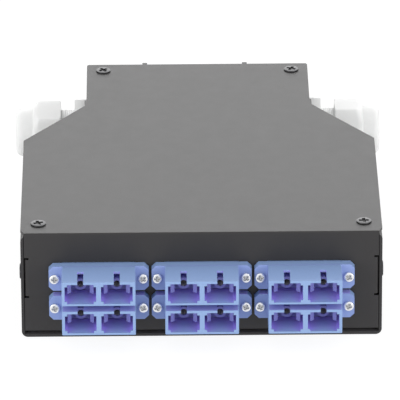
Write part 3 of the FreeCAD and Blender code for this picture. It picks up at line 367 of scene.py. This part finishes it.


# The six duplex adapters are moulded in blue polyester, each with two ports at both ends.
# Softer latch arms and a tube click into each port, around a ceramic sleeve.
# The plastic is painted a more violet shade where it is hemmed in, deep in the ports and between
# the rows, and painted darker on the front faces of the mouths and the ears, all as painted shade.
PLACES = [f"{row}_{column}" for row in ("upper", "lower") for column in ("left", "middle", "right")]
ADAPTER_OUTSIDE = (0.263, 0.387, 0.675)
ADAPTER_PAINTED_SHADE = (0.45, 0.345, 0.9)
# Painted shade: the front faces of the mouths are darker.
ADAPTER_MOUTH_SHADE = (0.228, 0.34, 0.58)
# Painted shade: the front faces of the ears are darker.
ADAPTER_EAR_SHADE = (0.236, 0.318, 0.6)
# Painted shade: faces on two planes in the narrow gap between the rows are more violet.
ADAPTER_SLOT_SHADE = (0.313, 0.321, 0.72)
ADAPTER_LEDGE_SHADE = (0.44, 0.42, 0.92)
ADAPTER_STEP = 0.00005
ADAPTER_NOSE = 0.013
ADAPTER_GRAIN = (0.12, 0.2, 1300.0, EVEN)
FACE_DEPTH = {"none": 0.0004, "full": 0.00025}
SKY_SAMPLES = 16
SLEEVE_OUTSIDE = (0.86, 0.85, 0.81)
SLEEVE_BORE_SHADE = (0.5, 0.49, 0.5)


def occlusion_shade_share(material, reach, open_share, closed_share):
    """Zero where a point's sky is free, one where the piece's own walls within reach close it in.

    The share runs evenly from an open share of free sky to a closed one.
    """
    nodes, link = material.node_tree.nodes, material.node_tree.links.new
    free = nodes.new("ShaderNodeAmbientOcclusion")
    free.only_local = True
    free.samples = SKY_SAMPLES
    free.inputs["Distance"].default_value = reach
    share = nodes.new("ShaderNodeMapRange")
    share.inputs["From Min"].default_value = open_share
    share.inputs["From Max"].default_value = closed_share
    link(free.outputs["AO"], share.inputs["Value"])
    return share.outputs["Result"]


mouth_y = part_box("adapter_lower_left")[0][1]
ledge_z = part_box("adapter_lower_left")[1][2]
adapter_blue = finish("adapter_blue", ADAPTER_OUTSIDE, roughness=0.5, grain=ADAPTER_GRAIN, bump=0.00001)
# Painted shade: violet where hemmed in and between the rows, darker on the mouths' and ears' fronts.
tint(adapter_blue, ADAPTER_OUTSIDE, (
    (occlusion_shade_share(adapter_blue, reach=0.008, open_share=0.8, closed_share=0.42), ADAPTER_PAINTED_SHADE),
    (distance_share(adapter_blue, "Y", mouth_y, **FACE_DEPTH), ADAPTER_MOUTH_SHADE),
    (distance_share(adapter_blue, "Y", mouth_y + ADAPTER_NOSE, **FACE_DEPTH), ADAPTER_EAR_SHADE),
    (distance_share(adapter_blue, "Z", ledge_z - ADAPTER_STEP, **ON_PLANE), ADAPTER_SLOT_SHADE),
    (distance_share(adapter_blue, "Z", ledge_z, **ON_PLANE), ADAPTER_LEDGE_SHADE),
))
latch_blue = finish("latch_blue", (0.208, 0.214, 0.51), roughness=0.5, grain=ADAPTER_GRAIN, bump=0.00001)
sleeve_ceramic = finish(
    "sleeve_ceramic", SLEEVE_OUTSIDE, roughness=0.15, grain=(0.03, 0.05, 2500.0, EVEN), bump=0.000002,
)
# Painted shade: the sleeve's bore is painted darker where its walls close it in.
tint(sleeve_ceramic, SLEEVE_OUTSIDE, (
    (occlusion_shade_share(sleeve_ceramic, reach=0.004, open_share=0.9, closed_share=0.5), SLEEVE_BORE_SHADE),
))
for place in PLACES:
    coat(adapter_blue, f"adapter_{place}")
    coat(latch_blue, f"latch_inserts_{place}")
    coat(sleeve_ceramic, f"ferrule_sleeves_{place}")


# Two small pan-head screws of bright plated steel hold each adapter's flange.
# They pass through the front panel into hexagonal nuts behind it.
PAN_HEIGHT = 0.0011
PAN_SCREW_TURN = 137.5
ADAPTER_SCREW_SPACING = 0.031
pan_low, pan_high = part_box("adapter_screws")
# Painted shade and a painted dark reflection: the cross recess and a disc around it are darker.
PAN_SCREW = {
    "shank_radius": 0.001, "shank_length": pan_high[1] - pan_low[1] - PAN_HEIGHT,
    "head_radius": 0.0018, "head_height": PAN_HEIGHT, "dome": 0.0001, "edge": 0.00035,
    "recess": 0.0005, "recess_shade": 0.5, "bowl_shade": 0.28,
}
pan_places = []
for place in PLACES:
    low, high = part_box(f"adapter_{place}")
    middle_x, middle_z = (low[0] + high[0]) / 2, (low[2] + high[2]) / 2
    for s in (-1, 1):
        pan_places.append((middle_x + s * ADAPTER_SCREW_SPACING / 2, pan_low[1] + PAN_HEIGHT, middle_z))
pan_turns = [PAN_SCREW_TURN * i for i in range(len(pan_places))]
pan_screws = screws("adapter_pan_screws", pan_places, pan_turns, (0, -1, 0), (1, 0, 0), **PAN_SCREW)
bright_plate = finish(
    "bright_plate", (0.8, 0.81, 0.83), roughness=0.25, grain=(0.05, 0.2, 3000.0, EVEN), bump=0.000002,
    plain={"Metallic": 1.0},
)
shade_by_attribute(bright_plate)
pan_screws.data.materials.append(bright_plate)
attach(pan_screws, "case")
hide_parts("adapter_screws")
coat(zinc_plate, "adapter_nuts")


# A white polyamide cable gland screws through each wall of the neck, on a rubber washer.
# Its hexagonal cap nut squeezes a ring of claws and a rubber seal onto the cable.
NUT_FLATS = 0.0203
NUT_CORNER = 0.01175
NUT_GRIP = 0.0103
NUT_EDGE = 0.0005
NUT_BEVEL = 0.0023
NUT_BEVEL_RADIUS = 0.01
COLLAR_ROOT = 0.009
COLLAR_TIP = 0.0087
COLLAR_ROUND = 0.0024
NUT_MOUTH = 0.0056
NUT_FACE = 0.0024
NUT_THREAD_RADIUS = 0.00815
NUT_THREAD_DEPTH = 0.0086
NUT_CORNERS = {"left": 18.0, "right": -26.75}
NUT_ROUNDS = (0.0002, 0.0002, 0.0002, 0.0005, 0.00035, 0.0003, COLLAR_ROUND, 0.0005, 0.0003, 0.0002)
NUT_STEPS = 180
CORNER_SHARPNESS = 60
BODY_HEX = 0.0046
THREAD_ROOT = 0.00801
THREAD_RISE = 0.0003
THREAD_PITCH = 0.0015
THREAD_FLANK = 0.8
THREAD_RINGS = 64


def rounded(points, radii, steps=6):
    """A path through corners, each corner replaced by a curve that starts and ends one radius from it.

    The curve is the parabola whose control point is the corner.
    """
    points = np.array(points, float)
    before, after = np.roll(points, 1, axis=0) - points, np.roll(points, -1, axis=0) - points
    cut = np.array(radii, float)[:, None]
    start = points + before / np.linalg.norm(before, axis=1)[:, None] * cut
    end = points + after / np.linalg.norm(after, axis=1)[:, None] * cut
    t = np.linspace(0, 1, steps)[None, :, None]
    curve = (1 - t) ** 2 * start[:, None] + 2 * t * (1 - t) * points[:, None] + t**2 * end[:, None]
    return curve.reshape(-1, 2)


def cap_nut(name, start, end, axis_y, axis_z, corner):
    """A cap nut: a closed profile of (along, radius) carried round the axis.

    On the grip the radius is the soft minimum of the profile and of a hexagon, the inverse power sum
    of both, so the corners come out slightly round.
    """
    out = math.copysign(1.0, end - start)
    length = abs(end - start)
    profile = rounded(
        [
            (0, NUT_THREAD_RADIUS), (0, NUT_CORNER - NUT_EDGE), (NUT_EDGE, NUT_CORNER),
            (NUT_GRIP - NUT_BEVEL, NUT_CORNER), (NUT_GRIP, NUT_BEVEL_RADIUS), (NUT_GRIP, COLLAR_ROOT),
            (length, COLLAR_TIP), (length, NUT_MOUTH), (length - NUT_FACE, NUT_MOUTH),
            (NUT_THREAD_DEPTH, NUT_THREAD_RADIUS),
        ],
        NUT_ROUNDS,
    )
    along, radius = profile[:, 0], profile[:, 1]
    turn = np.linspace(0, 2 * math.pi, NUT_STEPS, endpoint=False)
    facet = (turn - math.radians(corner)) % (math.pi / 3) - math.pi / 6
    hexagon = NUT_FLATS / 2 / np.cos(facet)
    power_sum = radius[:, None] ** -CORNER_SHARPNESS + hexagon**-CORNER_SHARPNESS
    soft = power_sum ** (-1 / CORNER_SHARPNESS)
    on_grip = (along < NUT_GRIP) & (radius > NUT_THREAD_RADIUS + NUT_EDGE)
    r = np.where(on_grip[:, None], soft, radius[:, None])
    x = np.broadcast_to((start + out * along)[:, None], r.shape)
    rings = np.stack([x, axis_y + r * np.sin(turn), axis_z + r * np.cos(turn)], axis=-1)
    return ring_surface(name, rings[None], closed=True)


def thread(name, start, end, axis_y, axis_z):
    """A screw thread: the radius rises by a clipped cosine of the turn plus the way along, per pitch.

    The rise fades to nothing over the first and last half pitch, where the sleeve lies on the core.
    """
    length = abs(end - start)
    along = np.linspace(0, length, THREAD_RINGS)[:, None]
    turn = np.linspace(0, 2 * math.pi, ROUND_STEPS, endpoint=False)[None, :]
    wave = np.clip(0.5 + THREAD_FLANK * np.cos(2 * math.pi * along / THREAD_PITCH - turn), 0, 1)
    fade = np.clip(np.minimum(along, length - along) / (THREAD_PITCH / 2), 0, 1)
    r = THREAD_ROOT + THREAD_RISE * wave * fade
    x = np.broadcast_to(start + math.copysign(1.0, end - start) * along, r.shape)
    rings = np.stack([x, axis_y + r * np.sin(turn), axis_z + r * np.cos(turn)], axis=-1)
    return ring_surface(name, rings[None])


gland_white = finish(
    "gland_white", (0.82, 0.825, 0.82), roughness=0.45, grain=(0.04, 0.2, 1100.0, EVEN), bump=0.00001,
    plain={"Subsurface Weight": 0.6, "Subsurface Scale": 0.004, "Subsurface Radius": (1.0, 1.0, 1.0)},
)
black_rubber = finish(
    "black_rubber", (0.035, 0.035, 0.036), roughness=0.75, grain=(0.3, 0.2, 1500.0, EVEN), bump=0.00002,
)
for hand, s in (("left", -1), ("right", 1)):
    washer_low, washer_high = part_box(f"gland_washer_{hand}")
    axis_y, axis_z = (washer_low[1] + washer_high[1]) / 2, (washer_low[2] + washer_high[2]) / 2
    nut_low, nut_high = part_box(f"gland_cap_nut_{hand}")
    inner, outer = (nut_high[0], nut_low[0]) if s < 0 else (nut_low[0], nut_high[0])
    nut = cap_nut(f"cap_nut_{hand}", inner, outer, axis_y, axis_z, NUT_CORNERS[hand])
    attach(nut, f"gland_nut_{hand}")
    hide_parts(f"gland_cap_nut_{hand}")
    washer_face = washer_low[0] if s < 0 else washer_high[0]
    ridges = thread(f"gland_thread_{hand}", washer_face + s * BODY_HEX, inner, axis_y, axis_z)
    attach(ridges, "case")
    for piece in (nut, ridges):
        piece.data.materials.append(gland_white)
    coat(gland_white, f"gland_body_{hand}", f"gland_locknut_{hand}")
    coat(black_rubber, f"gland_washer_{hand}", f"gland_seal_{hand}")


# The rail clip is a fixed hook and a sprung sliding hook of folded steel, coated like the case.
# Shoulder rivets guide the slide, a steel coil closes it, and countersunk screws hold the clip.
coat(powder_black, "din_bracket", "din_latch")
coat(zinc_plate, "clip_nuts")
# Painted shade: the recess shade paints each cross recess darker.
CLIP_SCREW = {
    "shank_radius": 0.00145, "shank_length": 0.0065, "head_radius": 0.0026, "head_height": 0.0,
    "dome": 0.0, "edge": 0.0001, "cone": 0.00105, "recess": 0.0007, "recess_shade": 0.6,
}
CLIP_SCREW_TURNS = (12.0, 40.0, -20.0, 65.0)
RIVET_HEAD = 0.0032
RIVET_HEAD_HEIGHT = 0.0009
RIVET_SHOULDER = 0.002
RIVET_DOME = 0.0004
RIVET_EDGE = 0.0002


def corners(low, high, inset):
    """The x and z of the corners of a box, each moved inwards by the inset."""
    return [
        (x, z)
        for x in (low[0] + inset, high[0] - inset)
        for z in (low[2] + inset, high[2] - inset)
    ]


clip_low, clip_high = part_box("clip_screws")
clip_screws = screws(
    "clip_countersunk_screws",
    [(x, clip_high[1], z) for x, z in corners(clip_low, clip_high, CLIP_SCREW["head_radius"])],
    CLIP_SCREW_TURNS, (0, 1, 0), (1, 0, 0), **CLIP_SCREW,
)
rivet_low, rivet_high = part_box("din_guide_rivets")
rivet_x, rivet_seat = rivet_low[0] + RIVET_HEAD, rivet_high[1] - RIVET_HEAD_HEIGHT
rivet_heights = (rivet_low[2] + RIVET_HEAD, rivet_high[2] - RIVET_HEAD)
guide_rivets = screws(
    "shoulder_rivets", [(rivet_x, rivet_seat, z) for z in rivet_heights], (0.0, 0.0), (0, 1, 0), (1, 0, 0),
    shank_radius=RIVET_SHOULDER, shank_length=rivet_seat - rivet_low[1],
    head_radius=RIVET_HEAD, head_height=RIVET_HEAD_HEIGHT, dome=RIVET_DOME, edge=RIVET_EDGE,
)
shade_by_attribute(zinc_plate)
for piece, node in ((clip_screws, "clip_screws"), (guide_rivets, "din_guide_rivets")):
    piece.data.materials.append(zinc_plate)
    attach(piece, "case")
    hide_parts(node)
SPRING_WIRE = 0.0005
SPRING_TURNS = 8
STEPS_A_TURN = 32
WIRE_STEPS = 12


def coil_spring(name, low, high):
    """A coil spring along X: a round wire carried along a helix that fills the box from low to high.

    The first and last turn lie wire on wire and the turns between are even. The wire's rings stand
    square to the helix, and shrink to a point at both ends.
    """
    axis_y, axis_z = (low[1] + high[1]) / 2, (low[2] + high[2]) / 2
    radius = (high[2] - low[2] - SPRING_WIRE) / 2
    length = high[0] - low[0] - SPRING_WIRE
    turn = np.linspace(0, SPRING_TURNS, SPRING_TURNS * STEPS_A_TURN + 1)
    angle = 2 * math.pi * turn
    ends = (0, 1, SPRING_TURNS - 1, SPRING_TURNS)
    along = np.interp(turn, ends, (0, SPRING_WIRE, length - SPRING_WIRE, length))
    outward = np.stack([0 * angle, np.sin(angle), np.cos(angle)], axis=-1)
    path = radius * outward + np.stack([along, 0 * angle, 0 * angle], axis=-1)
    path = path + np.array([low[0] + SPRING_WIRE / 2, axis_y, axis_z])
    tangent = np.gradient(path, axis=0)
    tangent = tangent / np.linalg.norm(tangent, axis=1)[:, None]
    across = np.cross(tangent, outward)
    around = np.linspace(0, 2 * math.pi, WIRE_STEPS, endpoint=False)[None, :, None]
    thick = np.full(len(turn), SPRING_WIRE / 2)
    thick[[0, -1]] = 0
    section = np.cos(around) * outward[:, None] + np.sin(around) * across[:, None]
    rings = path[:, None] + thick[:, None, None] * section
    return ring_surface(name, rings[None])


spring_wire = finish(
    "spring_wire", (0.5, 0.5, 0.52), roughness=0.3, grain=(0.1, 0.3, 1500.0, EVEN), bump=0.000002,
    plain={"Metallic": 1.0},
)
spring_low, spring_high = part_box("din_spring")
latch_spring = coil_spring("latch_spring", spring_low, spring_high)
latch_spring.data.materials.append(spring_wire)
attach(latch_spring, "case")
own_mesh(latch_spring)
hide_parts("din_spring")


# The splice tray stands on four pressed-in studs inside the case.
# It is moulded in grey plastic, with a comb for the splices and a clear sheet as a cover.
tray_grey = finish(
    "tray_grey", (0.5, 0.51, 0.52), roughness=0.55, grain=(0.06, 0.2, 1200.0, EVEN), bump=0.00001,
)
clear_sheet = finish(
    "clear_sheet", (0.93, 0.96, 0.97), roughness=0.08, grain=(0.01, 0.05, 300.0, EVEN), bump=0.000001,
    plain={"Transmission Weight": 1.0, "IOR": 1.49},
)
coat(tray_grey, "splice_tray", "splice_holder")
coat(clear_sheet, "tray_cover")
coat(zinc_plate, "tray_studs", "tray_nuts")


# The studio: a white floor and surround, three soft boxes, and a long lens from the front.
# The camera sees the floor and the surround as white, and the floor keeps a faint shadow.
SURROUND = 0.88
FLOOR_SIZE = 6.0
FLOOR_GLOW = 0.88
FLOOR_WHITE = (0.95, 0.95, 0.95, 1.0)
FLOOR_SHADOW = (0.2, 0.2, 0.2, 1.0)


def seen_directly(tree):
    """One where a camera, glossy or transmission ray asks, and zero elsewhere."""
    path = tree.nodes.new("ShaderNodeLightPath")
    most = path.outputs["Is Camera Ray"]
    for name in ("Is Glossy Ray", "Is Transmission Ray"):
        pick = tree.nodes.new("ShaderNodeMath")
        pick.operation = "MAXIMUM"
        tree.links.new(most, pick.inputs[0])
        tree.links.new(path.outputs[name], pick.inputs[1])
        most = pick.outputs[0]
    return most


scene = bpy.context.scene
world = bpy.data.worlds.new("studio_surround")
world.use_nodes = True
scene.world = world
strength = world.node_tree.nodes.new("ShaderNodeMapRange")
strength.inputs["To Min"].default_value = SURROUND
strength.inputs["To Max"].default_value = 1.0
background = world.node_tree.nodes["Background"]
background.inputs["Color"].default_value = (1.0, 1.0, 1.0, 1.0)
world.node_tree.links.new(seen_directly(world.node_tree), strength.inputs["Value"])
world.node_tree.links.new(strength.outputs["Result"], background.inputs["Strength"])

floor_white = bpy.data.materials.new("floor_white")
floor_white.use_nodes = True
floor_nodes, floor_link = floor_white.node_tree.nodes, floor_white.node_tree.links.new
floor_nodes.remove(floor_nodes["Principled BSDF"])
plain, shade = floor_nodes.new("ShaderNodeBsdfDiffuse"), floor_nodes.new("ShaderNodeBsdfDiffuse")
glow = floor_nodes.new("ShaderNodeEmission")
plain.inputs["Color"].default_value = FLOOR_WHITE
shade.inputs["Color"].default_value = FLOOR_SHADOW
glow.inputs["Strength"].default_value = FLOOR_GLOW
shown, either = floor_nodes.new("ShaderNodeAddShader"), floor_nodes.new("ShaderNodeMixShader")
floor_link(shade.outputs[0], shown.inputs[0])
floor_link(glow.outputs[0], shown.inputs[1])
floor_link(seen_directly(floor_white.node_tree), either.inputs[0])
floor_link(plain.outputs[0], either.inputs[1])
floor_link(shown.outputs[0], either.inputs[2])
floor_link(either.outputs[0], floor_nodes["Material Output"].inputs["Surface"])
floor_mesh = bpy.data.meshes.new("floor")
half = FLOOR_SIZE / 2
floor_z = cad_box[0][2]
floor_corners = ((-half, -half), (half, -half), (half, half), (-half, half))
floor_mesh.from_pydata([(x, y, floor_z) for x, y in floor_corners], [], [(0, 1, 2, 3)])
floor_mesh.materials.append(floor_white)
floor = bpy.data.objects.new("floor", floor_mesh)
bpy.context.collection.objects.link(floor)


def softbox(name, *, azimuth, elevation, distance, width, height, radiance, lights_matt=True):
    """A rectangular lamp that faces the middle of the case and lights matt surfaces or only gloss.

    Its power is its radiance times its area times pi.
    """
    lamp = bpy.data.lights.new(name, "AREA")
    lamp.shape = "RECTANGLE"
    lamp.size, lamp.size_y = width, height
    lamp.energy = radiance * width * height * math.pi
    turn, rise = math.radians(azimuth), math.radians(elevation)
    away = Vector((math.sin(turn) * math.cos(rise), -math.cos(turn) * math.cos(rise), math.sin(rise)))
    box = bpy.data.objects.new(name, lamp)
    box.location = away * distance
    box.rotation_euler = away.to_track_quat("Z", "Y").to_euler()
    box.visible_camera = False
    box.visible_diffuse = lights_matt
    bpy.context.collection.objects.link(box)


softbox(
    "back_box", azimuth=180, elevation=26, distance=1.0, width=1.5, height=0.75, radiance=2.3,
    lights_matt=False,
)
for hand, s in (("left", -1), ("right", 1)):
    softbox(
        f"front_{hand}_box", azimuth=s * 45, elevation=13, distance=1.3, width=0.9, height=0.55,
        radiance=3.3,
    )

TARGET = Vector((-0.000085, -0.0339, 0.034055))
CAMERA_DISTANCE = 2.118691
CAMERA_ELEVATION = math.radians(24.75)
CAMERA_AZIMUTH = math.radians(0.504)
CAMERA_ROLL = math.radians(-0.26)
SENSOR_WIDTH = 36.0
FOCAL_LENGTH = 536.23
VIEW_END = 20.0
forward = Vector((
    math.sin(CAMERA_AZIMUTH) * math.cos(CAMERA_ELEVATION),
    math.cos(CAMERA_AZIMUTH) * math.cos(CAMERA_ELEVATION),
    -math.sin(CAMERA_ELEVATION),
))
level = Vector((math.cos(CAMERA_AZIMUTH), -math.sin(CAMERA_AZIMUTH), 0))
upright = level.cross(forward)
right = level * math.cos(CAMERA_ROLL) + upright * math.sin(CAMERA_ROLL)
up = upright * math.cos(CAMERA_ROLL) - level * math.sin(CAMERA_ROLL)
lens = bpy.data.cameras.new("long_lens")
lens.sensor_width = SENSOR_WIDTH
lens.lens = FOCAL_LENGTH
lens.clip_end = VIEW_END
camera = bpy.data.objects.new("camera", lens)
camera.matrix_world = Matrix.Translation(TARGET - forward * CAMERA_DISTANCE) @ Matrix(
    (right, up, -forward)
).transposed().to_4x4()
bpy.context.collection.objects.link(camera)
scene.camera = camera
scene.view_settings.view_transform = "Standard"
